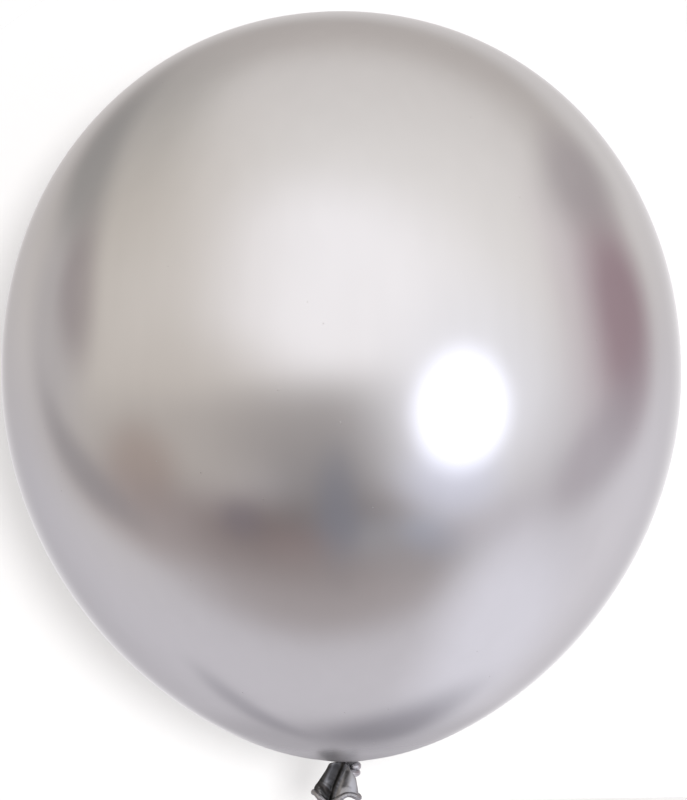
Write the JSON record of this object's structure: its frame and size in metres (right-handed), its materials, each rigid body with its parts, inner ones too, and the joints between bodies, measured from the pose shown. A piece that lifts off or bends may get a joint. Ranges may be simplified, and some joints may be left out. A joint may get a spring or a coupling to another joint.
{
  "type": "metallic latex balloon",
  "caption": "Round inflated latex balloon with a chrome finish, tied in an overhand knot at the neck, its open tail with a rolled lip below.",
  "frame": {"origin": "the neck tie: the point under the throat where the knot closes the balloon", "axes": "+Z from the tie up through the top of the balloon, -Y towards the viewer, on the side where the tail hangs, +X to the viewer's right"},
  "size_m": [0.29, 0.29, 0.3389],
  "materials": {
    "chrome_skin": "stretched latex with a mirror-like silver finish, a little satin",
    "gathered_skin": "pleated latex, silver, duller than the stretched skin",
    "slack_skin": "unstretched latex, dull silver grey"
  },
  "bodies": {
    "root": {"envelope": "chrome_skin", "neck": "gathered_skin", "knot_wrap": "gathered_skin", "tail": "slack_skin", "rolled_lip": "slack_skin"}
  },
  "joints": []
}
